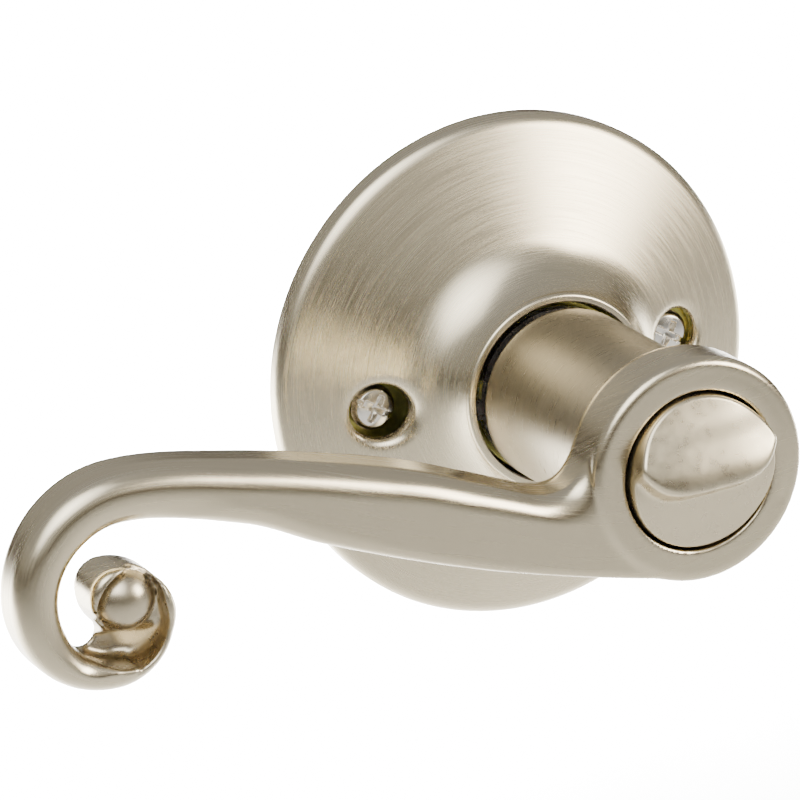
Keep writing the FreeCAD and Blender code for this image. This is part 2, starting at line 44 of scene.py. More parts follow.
# ---- driving dimensions, in millimetres ------------------------------------------------
ROSE_R = 33.35
ROSE_WALL = 1.15
ROSE_RIM_H = 1.7
ROSE_CONE_R = 32.0
ROSE_CONE_H = 3.2
FLARE_R = 19.3
FLARE_H = 8.6
FLARE_RADIUS = 11.5
LIP_ANGLE = 19.3
LIP_TOP_H = 16.1
COLLAR_BORE_R = 11.83

SCREW_OFFSET = 21.07
SCREW_HOLE_R = 3.75
DIMPLE_R = 5.3
DIMPLE_DEPTH = 1.25
SCREW_HEAD_R = 3.0
SCREW_SEAT_H = 3.2
SCREW_HEAD_H = 2.3
SCREW_SHANK_R = 1.75
SCREW_THREAD_R = 2.05
SCREW_THREAD_H = -14.8
SCREW_TIP_H = -20.0
SCREW_TWIST = -35.0
THREAD_PITCH = 0.7
THREAD_DEPTH = 0.4
RINGS_PER_TURN = 5
SCREW_RINGS = 60
SCREW_AROUND = 168

HEAD_R = 14.2
HEAD_BACK_H = 43.7
HEAD_BACK_R = 11.6
HEAD_FLARE_H = 48.0
HEAD_EDGE = 1.2
HEAD_FACE_H = 54.4
NECK_R = 11.4
NECK_REAR_H = 17.4
NECK_BORE_R = 9.25
NECK_BORE_TOP = 36.0
CAVITY_R = 10.1
CAVITY_FLOOR_H = 45.0
STEM_HOLE_R = 3.5
SET_SCREW_H = 26.0
SET_SCREW_R = 2.0

SCROLL_TOP = (-73.2, 17.5)
SCROLL_LEFT = (-88.1, 2.6)
SCROLL_BOTTOM = (-76.4, -9.1)
EYE_LOW_R = 8.0
EYE_TOP_R = 7.1
CURL_R = 3.3
GAP_TOP = (-73.7, 10.9)
GAP_LEFT_U = -82.5
GAP_END_ANGLE = 222.0
ARM_TOP_EDGE = [(-57.3, 14.7), (-38.1, 8.9), (-28.0, 4.6), (-19.0, 0.4), (-8.0, -4.6), (0.0, -6.0)]
ARM_LOW_EDGE = [(-18.9, -9.2), (-34.5, -3.8), (-48.7, 2.2), (-58.7, 7.2)]
ARM_ROOT = (-2.5, -13.7)
ARM_FRONT_H = (54.2, 52.3)
ARM_BACK_H = (43.4, 44.6)
ARM_TIP_U = -95.0
HEAD_BLEND = 9.0
BALL_R = 4.0
BALL_CENTRE = (-74.1, 1.3, 48.8)
SHELF_H = 49.6
BALL_GAP = 0.12
HOLLOW_CENTRE = (-76.0, -1.0)
HOLLOW_R = 6.2
SCOOP_CENTRE = (-76.9, -4.6)
SCOOP_REACH = 6.2
SCOOP_DEPTH = 3.3
LEVER_STEP = 0.36

# How the arm's edges are rounded along its run: u, then the radius there.
UPPER_ROUND = ((-90, -74, -58, -40, -30, -17), (2.7, 3.1, 3.6, 3.7, 3.3, 2.5))
LOWER_ROUND = ((-90, -72, -58, -45, -28), (2.7, 2.7, 2.5, 1.7, 0.9))
REAR_ROUND = ((-90, -57, -30), (2.3, 1.9, 1.1))
EYE_ROUND = 1.5
# The line that parts the upper edge from the lower one: u, then v.
MIDDLE_LINE = ((-58, -38, -28, -19, -8, 0), (10.9, 3.9, 0.5, -4.2, -6.0, -7.0))

BUTTON_R = 9.7
BUTTON_BACK_H = 46.2
STEM_R = 3.45
STEM_END_H = 33.6
CLIP_GROOVE = 0.5
CLIP_GROOVE_H = (34.55, 35.45)
BUTTON_EDGE = 0.45
BUTTON_RINGS = 120
BUTTON_AROUND = 300
BUTTON_SOFTENING = 14
# The button's section down its middle: v, then the height there.
SCOOP_SECTION = ((-3, -0.8, 1.2, 3.8, 6.8, 10), (59.0, 59.5, 59.2, 58.0, 56.1, 54.7))
RAMP_SECTION = ((-10, -6.5, -3.6, -1.0, 4, 10), (54.3, 55.1, 56.0, 56.6, 56.2, 54.4))

CAMERA_AZIMUTH = -22.73
CAMERA_ELEVATION = 18.90
CAMERA_ROLL = -6.66
CAMERA_DISTANCE = 747.34
CAMERA_SLIDE = (13.71, 5.06)
CAMERA_LENS = 259.26
CAMERA_FILM = 36.0

FLOOR_SIZE = 6.0
FLOOR_Z = -0.16

MM = 0.001

# Worked out from the above: the spiral's centres, each arc tangent to the last.
LOW_R = SCROLL_LEFT[1] - SCROLL_BOTTOM[1]
EYE_LOW_CENTRE = (SCROLL_BOTTOM[0], SCROLL_BOTTOM[1] + EYE_LOW_R)
EYE_TOP_CENTRE = (EYE_LOW_CENTRE[0] + EYE_LOW_R - EYE_TOP_R, EYE_LOW_CENTRE[1])
CURL_CENTRE = (EYE_TOP_CENTRE[0], EYE_TOP_CENTRE[1] + EYE_TOP_R - CURL_R)
GAP_R = GAP_TOP[0] - GAP_LEFT_U
GAP_CENTRE = (GAP_TOP[0], GAP_TOP[1] - GAP_R)
CURL_WALL_R = GAP_CENTRE[0] - CURL_CENTRE[0] + CURL_R


# ---- mesh helpers ----------------------------------------------------------------------
def bench_to_row(points):
    """(u, v, h) in millimetres to (x, y, z) in metres."""
    p = np.asarray(points, float)
    return np.stack([p[:, 0], -p[:, 2], p[:, 1]], 1) * MM


def make_piece(name, points, faces, materials, uvs=None, choice=None, smooth=True):
    """A mesh object at the origin. uvs holds one pair per face corner, choice a slot per face."""
    mesh = bpy.data.meshes.new(name)
    mesh.from_pydata(bench_to_row(points).tolist(), [], [list(map(int, f)) for f in faces])
    for material in materials:
        mesh.materials.append(material)
    if uvs is not None:
        layer = mesh.uv_layers.new(name="grain")
        layer.data.foreach_set("uv", np.asarray(uvs, np.float32).ravel())
    if choice is not None:
        mesh.polygons.foreach_set("material_index", np.asarray(choice, np.int32))
    mesh.polygons.foreach_set("use_smooth", [smooth] * len(mesh.polygons))
    mesh.validate()
    mesh.update()
    piece = bpy.data.objects.new(name, mesh)
    bpy.context.scene.collection.objects.link(piece)
    return piece


def finish_piece(piece, body, slot, *nodes):
    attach(piece, body)
    if nodes:
        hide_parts(*nodes)


def sharp_by_angle(piece, degrees):
    """Creases shade as edges where two faces meet more steeply than the angle given."""
    piece.data.set_sharp_from_angle(angle=math.radians(degrees))


def arc_points(centre, radius, start, end, count):
    """Points on an arc, angles in degrees."""
    a = np.radians(np.linspace(start, end, count))
    return np.stack([centre[0] + radius * np.cos(a), centre[1] + radius * np.sin(a)], 1)


def smooth_line(points, before, after, steps=14):
    """A smooth curve through the points; before and after set the tangents at its ends."""
    p = np.vstack([[before], points, [after]]).astype(float)
    t = np.linspace(0, 1, steps, endpoint=False)[:, None]
    spans = []
    for a, b, c, d in zip(p[:-3], p[1:-2], p[2:-1], p[3:]):
        cubic = (2 * b) + (c - a) * t + (2 * a - 5 * b + 4 * c - d) * t**2
        spans.append(0.5 * (cubic + (3 * b - a - 3 * c + d) * t**3))
    return np.vstack(spans + [p[-2:-1]])


def level_mirror(end, inner):
    """The neighbour that makes a smooth line leave its end point level."""
    return (2 * end[0] - inner[0], inner[1])


def polar_grid(radius, rings, around):
    """Radii, angles and the plan of a round grid about the axis, without its centre point."""
    r = np.linspace(0, radius, rings + 1)[1:]
    a = np.linspace(0, 2 * np.pi, around, endpoint=False)
    return r, a, r[:, None] * np.cos(a), r[:, None] * np.sin(a)


def polar_faces(rings, around):
    """Triangles round the centre point, then quads out to the rim."""
    faces = [(0, 1 + j, 1 + (j + 1) % around) for j in range(around)]
    for i in range(rings - 1):
        base = 1 + i * around
        for j in range(around):
            k = (j + 1) % around
            faces.append((base + j, base + around + j, base + around + k, base + k))
    return faces


def hang_rings(points, faces, profile, angles):
    """Rings of (radius, height) below the last ring of the points, then a flat end."""
    around = len(angles)
    previous = len(points) - around
    for radius, height in profile:
        ring = len(points)
        r = np.broadcast_to(radius, around)
        level = np.full(around, height)
        points.extend(np.stack([r * np.cos(angles), r * np.sin(angles), level], 1).tolist())
        for j in range(around):
            k = (j + 1) % around
            faces.append((previous + j, ring + j, ring + k, previous + k))
        previous = ring
    faces.append([previous + j for j in range(around)])


# ---- fields: negative inside, in millimetres -------------------------------------------
def soft_min(a, b, k):
    h = np.maximum(k - np.abs(a - b), 0) / k
    return np.minimum(a, b) - h * h * k / 4


def soft_max(a, b, k):
    return -soft_min(-a, -b, k)


def rounded(side, depth, radius):
    """Where a side wall meets a flat face in an edge of the radius given."""
    s = side + radius
    d = depth + radius
    return np.hypot(np.maximum(s, 0), np.maximum(d, 0)) + np.minimum(np.maximum(s, d), 0) - radius


def drum(r, h, radius, low, high, edge):
    middle = (low + high) / 2
    return rounded(r - radius, np.abs(h - middle) - (high - low) / 2, edge)


def smooth_step(x):
    t = np.clip(x, 0, 1)
    return t * t * (3 - 2 * t)


def outline_distance(outline, u, v):
    """Signed distance in the plan from a closed outline."""
    nearest = np.full(u.shape, 1e9)
    sign = np.ones(u.shape)
    for a, b in zip(outline, np.roll(outline, -1, 0)):
        e = b - a
        wu, wv = u - a[0], v - a[1]
        t = np.clip((wu * e[0] + wv * e[1]) / (e @ e), 0, 1)
        nearest = np.minimum(nearest, (wu - e[0] * t) ** 2 + (wv - e[1] * t) ** 2)
        above, below = v >= a[1], v < b[1]
        left = e[0] * wv > e[1] * wu
        sign = np.where((above & below & left) | (~above & ~below & ~left), -sign, sign)
    return sign * np.sqrt(nearest)


class PlanTable:
    """A value known on a fine plan grid, read anywhere in it."""

    def __init__(self, low, high, step, value):
        self.low, self.step = low, step
        u = np.arange(low[0], high[0], step)
        v = np.arange(low[1], high[1], step)
        self.table = value(*np.meshgrid(u, v, indexing="ij"))

    def __call__(self, u, v):
        x = np.clip((u - self.low[0]) / self.step, 0, self.table.shape[0] - 1.001)
        y = np.clip((v - self.low[1]) / self.step, 0, self.table.shape[1] - 1.001)
        i, j = x.astype(int), y.astype(int)
        fx, fy = x - i, y - j
        t = self.table
        near = t[i, j] * (1 - fx) + t[i + 1, j] * fx
        far = t[i, j + 1] * (1 - fx) + t[i + 1, j + 1] * fx
        return near * (1 - fy) + far * fy


def slope(field, points, reach):
    steps = np.eye(3) * reach
    parts = [(field(points + s) - field(points - s)) / (2 * reach) for s in steps]
    return np.stack(parts, 1)


def skin_of(field, low, high, step):
    """Points and quads on the field's zero surface, with its edges kept crisp."""
    axes = [np.arange(a, b + step, step) for a, b in zip(low, high)]
    shape = tuple(len(a) for a in axes)
    grid = np.stack(np.meshgrid(*axes, indexing="ij"), -1).reshape(-1, 3)
    values = field(grid).reshape(shape)
    inside = values < 0
    cells = tuple(n - 1 for n in shape)
    low = np.array([a[0] for a in axes])
    matrix = np.zeros(cells + (3, 3))
    vector = np.zeros(cells + (3,))
    total = np.zeros(cells + (3,))
    count = np.zeros(cells)
    quads = []
    for axis in range(3):
        first = [slice(None)] * 3
        second = [slice(None)] * 3
        first[axis] = slice(0, -1)
        second[axis] = slice(1, None)
        cut = inside[tuple(first)] != inside[tuple(second)]
        at = np.argwhere(cut)
        va = values[tuple(first)][cut]
        vb = values[tuple(second)][cut]
        point = low + at * step
        point[:, axis] += step * va / (va - vb)
        normal = slope(field, point, step * 0.2)
        normal /= np.maximum(np.linalg.norm(normal, axis=1, keepdims=True), 1e-9)
        others = [(axis + 1) % 3, (axis + 2) % 3]
        ring = []
        for du, dv in ((0, 0), (-1, 0), (-1, -1), (0, -1)):
            cell = at.copy()
            cell[:, others[0]] += du
            cell[:, others[1]] += dv
            index = tuple(cell.T)
            np.add.at(matrix, index, normal[:, :, None] * normal[:, None, :])
            np.add.at(vector, index, normal * np.sum(normal * point, 1, keepdims=True))
            np.add.at(total, index, point)
            np.add.at(count, index, 1)
            ring.append(cell)
        ring = np.stack(ring, 1)
        ring[va > 0] = ring[va > 0][:, ::-1]
        quads.append(ring)
    used = count > 0
    number = np.full(cells, -1)
    number[used] = np.arange(used.sum())
    mean = total[used] / count[used][:, None]
    pull = 0.06
    a = matrix[used] + pull * np.eye(3)
    b = vector[used] + pull * mean
    points = np.linalg.solve(a, b[..., None])[..., 0]
    points = mean + np.clip(points - mean, -0.7 * step, 0.7 * step)
    quads = np.vstack(quads)
    faces = number[quads[..., 0], quads[..., 1], quads[..., 2]]
    return points, faces


# ---- finishes --------------------------------------------------------------------------
class Finish:
    """A short way to write a material's nodes."""

    def __init__(self, name):
        self.material = bpy.data.materials.new(name)
        self.material.use_nodes = True
        self.tree = self.material.node_tree
        self.shader = self.tree.nodes["Principled BSDF"]

    def node(self, kind, **settings):
        made = self.tree.nodes.new(kind)
        for key, value in settings.items():
            setattr(made, key, value)
        return made

    def link(self, source, target):
        self.tree.links.new(source, target)

    def maths(self, operation, *values):
        made = self.node("ShaderNodeMath", operation=operation)
        for socket, value in zip(made.inputs, values):
            if isinstance(value, bpy.types.NodeSocket):
                self.link(value, socket)
            else:
                socket.default_value = value
        return made.outputs[0]

    def noise(self, vector, scale, detail=3.0):
        made = self.node("ShaderNodeTexNoise")
        made.inputs["Scale"].default_value = scale
        made.inputs["Detail"].default_value = detail
        self.link(vector, made.inputs["Vector"])
        return made.outputs["Fac"]

    def spread(self, value, low, high):
        made = self.node("ShaderNodeMapRange")
        self.link(value, made.inputs["Value"])
        made.inputs["From Min"].default_value = 0.3
        made.inputs["From Max"].default_value = 0.7
        made.inputs["To Min"].default_value = low
        made.inputs["To Max"].default_value = high
        return made.outputs["Result"]

    def stacked(self, x, y, z):
        made = self.node("ShaderNodeCombineXYZ")
        for socket, value in zip(made.inputs, (x, y, z)):
            if isinstance(value, bpy.types.NodeSocket):
                self.link(value, socket)
            else:
                socket.default_value = value
        return made.outputs[0]


def round_grain(finish, across, along):
    """A vector that runs slowly round the spindle axis and fast across it."""
    place = finish.node("ShaderNodeTexCoord").outputs["Object"]
    parts = finish.node("ShaderNodeSeparateXYZ")
    finish.link(place, parts.inputs[0])
    x, y, z = parts.outputs
    squares = finish.maths("ADD", finish.maths("MULTIPLY", x, x), finish.maths("MULTIPLY", z, z))
    radius = finish.maths("SQRT", squares)
    angle = finish.maths("ARCTAN2", z, x)
    return finish.stacked(
        finish.maths("MULTIPLY", radius, across),
        finish.maths("MULTIPLY", angle, along),
        finish.maths("MULTIPLY", y, across),
    )


def long_grain(finish, across, along):
    """A vector that runs slowly along the piece's own grain map and fast across it."""
    grain = finish.node("ShaderNodeUVMap", uv_map="grain").outputs[0]
    parts = finish.node("ShaderNodeSeparateXYZ")
    finish.link(grain, parts.inputs[0])
    u, v = parts.outputs[0], parts.outputs[1]
    return finish.stacked(finish.maths("MULTIPLY", u, along), finish.maths("MULTIPLY", v, across), 0.0)


def plain_grain(finish, scale, _along):
    place = finish.node("ShaderNodeTexCoord").outputs["Object"]
    made = finish.node("ShaderNodeVectorMath", operation="SCALE")
    finish.link(place, made.inputs[0])
    made.inputs["Scale"].default_value = scale
    return made.outputs[0]


def metal(name, colour, roughness, grain, across, along, relief=0.3, turn=0.0, mottled=0.06):
    """A brushed or cast metal: streaks in its colour, gloss and relief follow its grain."""
    finish = Finish(name)
    shader = finish.shader
    shader.inputs["Metallic"].default_value = 1.0
    streaks = finish.noise(grain(finish, across, along), 1.0, 5.0)
    cloud = finish.noise(plain_grain(finish, 90.0, 0), 1.0)
    mix = finish.node("ShaderNodeMix", data_type="RGBA")
    strong = finish.maths("MULTIPLY", streaks, 0.7)
    faint = finish.maths("MULTIPLY", cloud, 0.3)
    finish.link(finish.spread(finish.maths("ADD", strong, faint), 0.0, 1.0), mix.inputs["Factor"])
    mix.inputs["A"].default_value = (*[c * (1 - mottled) for c in colour], 1)
    mix.inputs["B"].default_value = (*[min(c * (1 + mottled), 1) for c in colour], 1)
    finish.link(mix.outputs["Result"], shader.inputs["Base Color"])
    finish.link(finish.spread(streaks, roughness - 0.04, roughness + 0.05), shader.inputs["Roughness"])
    bump = finish.node("ShaderNodeBump")
    bump.inputs["Strength"].default_value = relief
    bump.inputs["Distance"].default_value = 0.00002
    finish.link(streaks, bump.inputs["Height"])
    finish.link(bump.outputs[0], shader.inputs["Normal"])
    if turn:
        shader.inputs["Anisotropic"].default_value = turn
        tangent = finish.node("ShaderNodeTangent", direction_type="UV_MAP", uv_map="grain")
        finish.link(tangent.outputs[0], shader.inputs["Tangent"])
    return finish.material


def nylon(name):
    finish = Finish(name)
    cloud = finish.noise(plain_grain(finish, 1400.0, 0), 1.0)
    mix = finish.node("ShaderNodeMix", data_type="RGBA")
    finish.link(finish.spread(cloud, 0.0, 1.0), mix.inputs["Factor"])
    mix.inputs["A"].default_value = (0.012, 0.012, 0.013, 1)
    mix.inputs["B"].default_value = (0.03, 0.029, 0.028, 1)
    finish.link(mix.outputs["Result"], finish.shader.inputs["Base Color"])
    finish.link(finish.spread(cloud, 0.42, 0.6), finish.shader.inputs["Roughness"])
    return finish.material


def make_finishes():
    nickel = (0.60, 0.52, 0.36)
    return {
        "rose": metal("satin_nickel", nickel, 0.26, round_grain, 5200, 3.0, 0.16, 0.5, 0.04),
        # Painted shade: the neck's nickel is made darker to stand for the shade on the neck behind the head.
        "neck": metal("satin_nickel_neck_painted_shade", (0.42, 0.365, 0.26), 0.3, round_grain, 4200, 3.0, 0.3, 0.0, 0.1),
        "cast": metal("satin_nickel_cast", nickel, 0.24, long_grain, 3.2, 0.06, 0.16, 0.25, 0.04),
        # Painted shade: the hollow's nickel is made darker to stand for the shade inside the eye's recess.
        "hollow": metal("satin_nickel_hollow_painted_shade", (0.5, 0.43, 0.3), 0.28, plain_grain, 500, 0, 0.05, 0.0, 0.04),
        "button": metal("satin_nickel_button", nickel, 0.29, plain_grain, 700, 0, 0.05, 0.0, 0.025),
        "yellow": metal("yellow_zinc", (0.42, 0.4, 0.12), 0.32, plain_grain, 500, 0, 0.3, 0.0, 0.2),
        "bright": metal("bright_zinc", (0.46, 0.47, 0.48), 0.36, plain_grain, 500, 0, 0.3, 0.0, 0.12),
        "screw": metal("screw_steel", (0.74, 0.7, 0.62), 0.2, plain_grain, 900, 0, 0.5, 0.0, 0.2),
        "spring": metal("spring_steel", (0.5, 0.49, 0.47), 0.28, plain_grain, 800, 0, 0.3, 0.0, 0.15),
        "dark": metal("dark_steel", (0.2, 0.19, 0.18), 0.38, plain_grain, 700, 0, 0.4, 0.0, 0.2),
        "black": metal("black_steel", (0.05, 0.05, 0.052), 0.36, plain_grain, 900, 0, 0.4, 0.0, 0.2),
        "nylon": nylon("nylon_black"),
    }


# ---- copies about the spindle axis, by Geometry Nodes ----------------------------------
def ring_tree():
    """Copies of the piece it is given, evenly turned about the spindle axis."""
    tree = bpy.data.node_groups.new("copies_about_spindle", "GeometryNodeTree")
    face = tree.interface
    face.new_socket("Piece", in_out="INPUT", socket_type="NodeSocketGeometry")
    for name, kind in (("Count", "NodeSocketInt"), ("Start Angle", "NodeSocketFloat"),
                       ("Step Angle", "NodeSocketFloat"), ("Finish", "NodeSocketMaterial")):
        face.new_socket(name, in_out="INPUT", socket_type=kind)
    face.new_socket("Copies", in_out="OUTPUT", socket_type="NodeSocketGeometry")
    nodes, links = tree.nodes, tree.links
    start = nodes.new("NodeGroupInput").outputs
    points = nodes.new("GeometryNodePoints")
    links.new(start["Count"], points.inputs["Count"])
    scaled = nodes.new("ShaderNodeMath")
    scaled.operation = "MULTIPLY_ADD"
    links.new(nodes.new("GeometryNodeInputIndex").outputs[0], scaled.inputs[0])
    links.new(start["Step Angle"], scaled.inputs[1])
    links.new(start["Start Angle"], scaled.inputs[2])
    turn = nodes.new("ShaderNodeCombineXYZ")
    links.new(scaled.outputs[0], turn.inputs["Y"])
    copies = nodes.new("GeometryNodeInstanceOnPoints")
    links.new(points.outputs[0], copies.inputs["Points"])
    links.new(start["Piece"], copies.inputs["Instance"])
    links.new(turn.outputs[0], copies.inputs["Rotation"])
    real = nodes.new("GeometryNodeRealizeInstances")
    links.new(copies.outputs[0], real.inputs[0])
    paint = nodes.new("GeometryNodeSetMaterial")
    links.new(real.outputs[0], paint.inputs["Geometry"])
    links.new(start["Finish"], paint.inputs["Material"])
    links.new(paint.outputs[0], nodes.new("NodeGroupOutput").inputs["Copies"])
    return tree


def run_tree(piece, tree, **values):
    """Runs a tree on the piece, keeps the result as a plain mesh and drops the modifier."""
    modifier = piece.modifiers.new("build", "NODES")
    modifier.node_group = tree
    sockets = {i.name: i.identifier for i in tree.interface.items_tree if i.in_out == "INPUT"}
    for name, value in values.items():
        modifier[sockets[name.replace("_", " ")]] = value
    graph = bpy.context.evaluated_depsgraph_get()
    mesh = bpy.data.meshes.new_from_object(piece.evaluated_get(graph))
    piece.modifiers.remove(modifier)
    old = piece.data
    piece.data = mesh
    bpy.data.meshes.remove(old)
    return piece


def repeat_about_spindle(piece, tree, count, start_degrees, finish):
    return run_tree(
        piece, tree, Count=count, Start_Angle=math.radians(start_degrees),
        Step_Angle=2 * math.pi / count, Finish=finish,
    )


# ---- the rose --------------------------------------------------------------------------
def rose_skin(offset):
    """(r, h) points of the rose's section from rim to collar lip, moved inwards by offset."""
    tilt = math.atan2(FLARE_H - ROSE_CONE_H, ROSE_CONE_R - FLARE_R)
    shift = np.array([offset * math.sin(tilt), offset * math.cos(tilt)])
    crease = np.array([ROSE_CONE_R, ROSE_CONE_H]) - shift
    top = np.array([FLARE_R, FLARE_H]) - shift
    centre = np.array([FLARE_R + FLARE_RADIUS * math.sin(tilt), FLARE_H + FLARE_RADIUS * math.cos(tilt)])
    rim = np.array([ROSE_R - offset, max(ROSE_RIM_H - offset, 0.3)])
    wall = [np.array([ROSE_R - offset, h]) for h in np.linspace(0.0, rim[1], 4)[:-1]]
    bend = []
    for t in np.linspace(0, 1, 9):
        bend.append((1 - t) ** 2 * rim + 2 * t * (1 - t) * (rim + (0, 0.9)) * [0.995, 1] + t * t * crease)
    cone = [crease + (top - crease) * t for t in np.linspace(0, 1, 34)[1:-1]]
    angles = np.radians(np.linspace(90 - math.degrees(tilt), LIP_ANGLE, 36))
    radius = FLARE_RADIUS + offset
    flare = [centre - radius * np.array([math.cos(a), math.sin(a)]) for a in angles]
    return np.array(wall + bend + cone + flare)


def rose_section():
    """The closed section: out over the skin, round the collar's lip and back inside."""
    outer = rose_skin(0.0)
    inner = rose_skin(ROSE_WALL)
    lip_r = COLLAR_BORE_R
    end = outer[-1]
    crown = [
        (end[0] - 0.05, LIP_TOP_H - 0.35), (end[0] - 0.2, LIP_TOP_H - 0.1),
        (end[0] - 0.45, LIP_TOP_H), (lip_r + 0.15, LIP_TOP_H),
        (lip_r, LIP_TOP_H - 0.15), (lip_r, LIP_TOP_H - 1.2),
    ]
    back = inner[::-1]
    back = back[(back[:, 0] > lip_r + 0.02)]
    return outer, np.array(crown), back


def dimple_drop(away):
    """How far the skin has rolled down into a screw hole, at a distance from its centre."""
    t = np.clip((DIMPLE_R - away) / (DIMPLE_R - SCREW_HOLE_R), 0, 1)
    return DIMPLE_DEPTH * (1 - np.sqrt(np.maximum(1 - t * t, 0)))


def skin_height(profile, r):
    order = np.argsort(profile[:, 0])
    return np.interp(r, profile[order, 0], profile[order, 1])


ROSE_AROUND = 288
PATCH_HALF = 15
PATCH_RINGS = 14


def make_rose(finish):
    """The rose's outer and inner skins, with both screw holes rolled in."""
    outer, crown, inner = rose_section()
    profile = np.vstack([outer, crown, inner, outer[:1]])
    radii = profile[:, 0]
    a = np.linspace(0, 2 * np.pi, ROSE_AROUND, endpoint=False)
    points = np.stack([
        radii[:, None] * np.cos(a), radii[:, None] * np.sin(a), np.repeat(profile[:, 1:], ROSE_AROUND, 1)
    ], -1)[:-1].reshape(-1, 3)
    rows = len(profile) - 1
    run = np.concatenate([[0], np.cumsum(np.hypot(*np.diff(profile, axis=0).T))])
    reach = 6.7

    def patch_rows(first, last):
        return [i for i in range(first, last) if SCREW_OFFSET - reach < radii[i] < SCREW_OFFSET + reach
                and radii[i] < ROSE_CONE_R - 1]

    outer_rows = patch_rows(0, len(outer))
    inner_rows = patch_rows(len(outer) + len(crown), rows)
    spans = [(min(r), max(r)) for r in (outer_rows, inner_rows)]
    faces, uvs = [], []
    for i in range(rows):
        for j in range(ROSE_AROUND):
            away = min((j + side) % ROSE_AROUND for side in (PATCH_HALF, PATCH_HALF - ROSE_AROUND // 2))
            if away < 2 * PATCH_HALF and any(lo <= i < hi for lo, hi in spans):
                continue
            k, m = (j + 1) % ROSE_AROUND, (i + 1) % rows
            this, after = i * ROSE_AROUND, m * ROSE_AROUND
            faces.append((this + j, this + k, after + k, after + j))
            left, right = j / ROSE_AROUND, (j + 1) / ROSE_AROUND
            uvs += [(left, run[i]), (right, run[i]), (right, run[i + 1]), (left, run[i + 1])]
    points = points.tolist()
    skins = (outer, inner)
    for middle in (0, ROSE_AROUND // 2):
        centre = np.array([SCREW_OFFSET * (1 if middle == 0 else -1), 0.0])
        mouths = []
        for which, (lo, hi) in enumerate(spans):
            edge = boundary(lo, hi, middle)
            mouths.append(hole_patch(points, faces, uvs, edge, centre, skins[which], which == 1))
        bridge(points, faces, uvs, mouths[0], mouths[1])
    piece = make_piece("rose_cover", points, faces, [finish], uvs)
    recalculate(piece)
    sharp_by_angle(piece, 42)
    return piece


def boundary(lo, hi, middle):
    """Point numbers round a patch of the rose's grid, in order."""
    left, right = middle - PATCH_HALF, middle + PATCH_HALF
    loop = [(lo, j) for j in range(left, right)]
    loop += [(i, right) for i in range(lo, hi)]
    loop += [(hi, j) for j in range(right, left, -1)]
    loop += [(i, left) for i in range(hi, lo, -1)]
    return [i * ROSE_AROUND + j % ROSE_AROUND for i, j in loop]


def hole_patch(points, faces, uvs, edge, centre, skin, is_inner):
    """Rings from a patch's boundary in to the screw hole; returns the hole's own ring."""
    start = np.array([points[n] for n in edge])
    plan = start[:, :2] - centre
    angle = np.arctan2(plan[:, 1], plan[:, 0])
    reach = np.hypot(plan[:, 0], plan[:, 1])
    outer_r = DIMPLE_R + (0.5 if is_inner else 0.15)
    levels = [("plain", t) for t in np.linspace(0, 1, 6)[1:]]
    levels += [("roll", t) for t in np.linspace(0, math.pi / 2, PATCH_RINGS)[1:]]
    previous = edge
    for kind, t in levels:
        if kind == "plain":
            away = reach + (outer_r - reach) * t
        else:
            away = np.full(len(edge), outer_r - (outer_r - SCREW_HOLE_R) * math.sin(t))
        u = centre[0] + away * np.cos(angle)
        v = centre[1] + away * np.sin(angle)
        h = skin_height(skin, np.hypot(u, v)) - dimple_drop(away)
        ring = list(range(len(points), len(points) + len(edge)))
        points.extend(np.stack([u, v, h], 1).tolist())
        join_rings(points, faces, uvs, previous, ring)
        previous = ring
    return previous


def join_rings(points, faces, uvs, a, b):
    for n in range(len(a)):
        m = (n + 1) % len(a)
        face = (a[n], a[m], b[m], b[n])
        faces.append(face)
        base = math.atan2(points[a[n]][1], points[a[n]][0])
        for corner in face:
            p = points[corner]
            angle = math.atan2(p[1], p[0])
            angle = base + (angle - base + math.pi) % (2 * math.pi) - math.pi
            uvs.append((angle / (2 * math.pi), math.hypot(p[0], p[1])))


def bridge(points, faces, uvs, a, b):
    """The hole's wall between the outer and the inner skin's rings."""
    pb = np.array([points[n] for n in b])
    matched = []
    for n in a:
        matched.append(b[int(np.argmin(np.hypot(*(pb[:, :2] - np.array(points[n])[:2]).T)))])
    for n in range(len(a)):
        m = (n + 1) % len(a)
        if matched[n] == matched[m]:
            face = (a[n], a[m], matched[n])
        else:
            face = (a[n], a[m], matched[m], matched[n])
        faces.append(face)
        uvs.extend([(0.0, 0.0)] * len(face))


def recalculate(piece):
    """Turns every face of a closed piece outwards."""
    shell = bmesh.new()
    shell.from_mesh(piece.data)
    bmesh.ops.recalc_face_normals(shell, faces=shell.faces)
    shell.to_mesh(piece.data)
    shell.free()


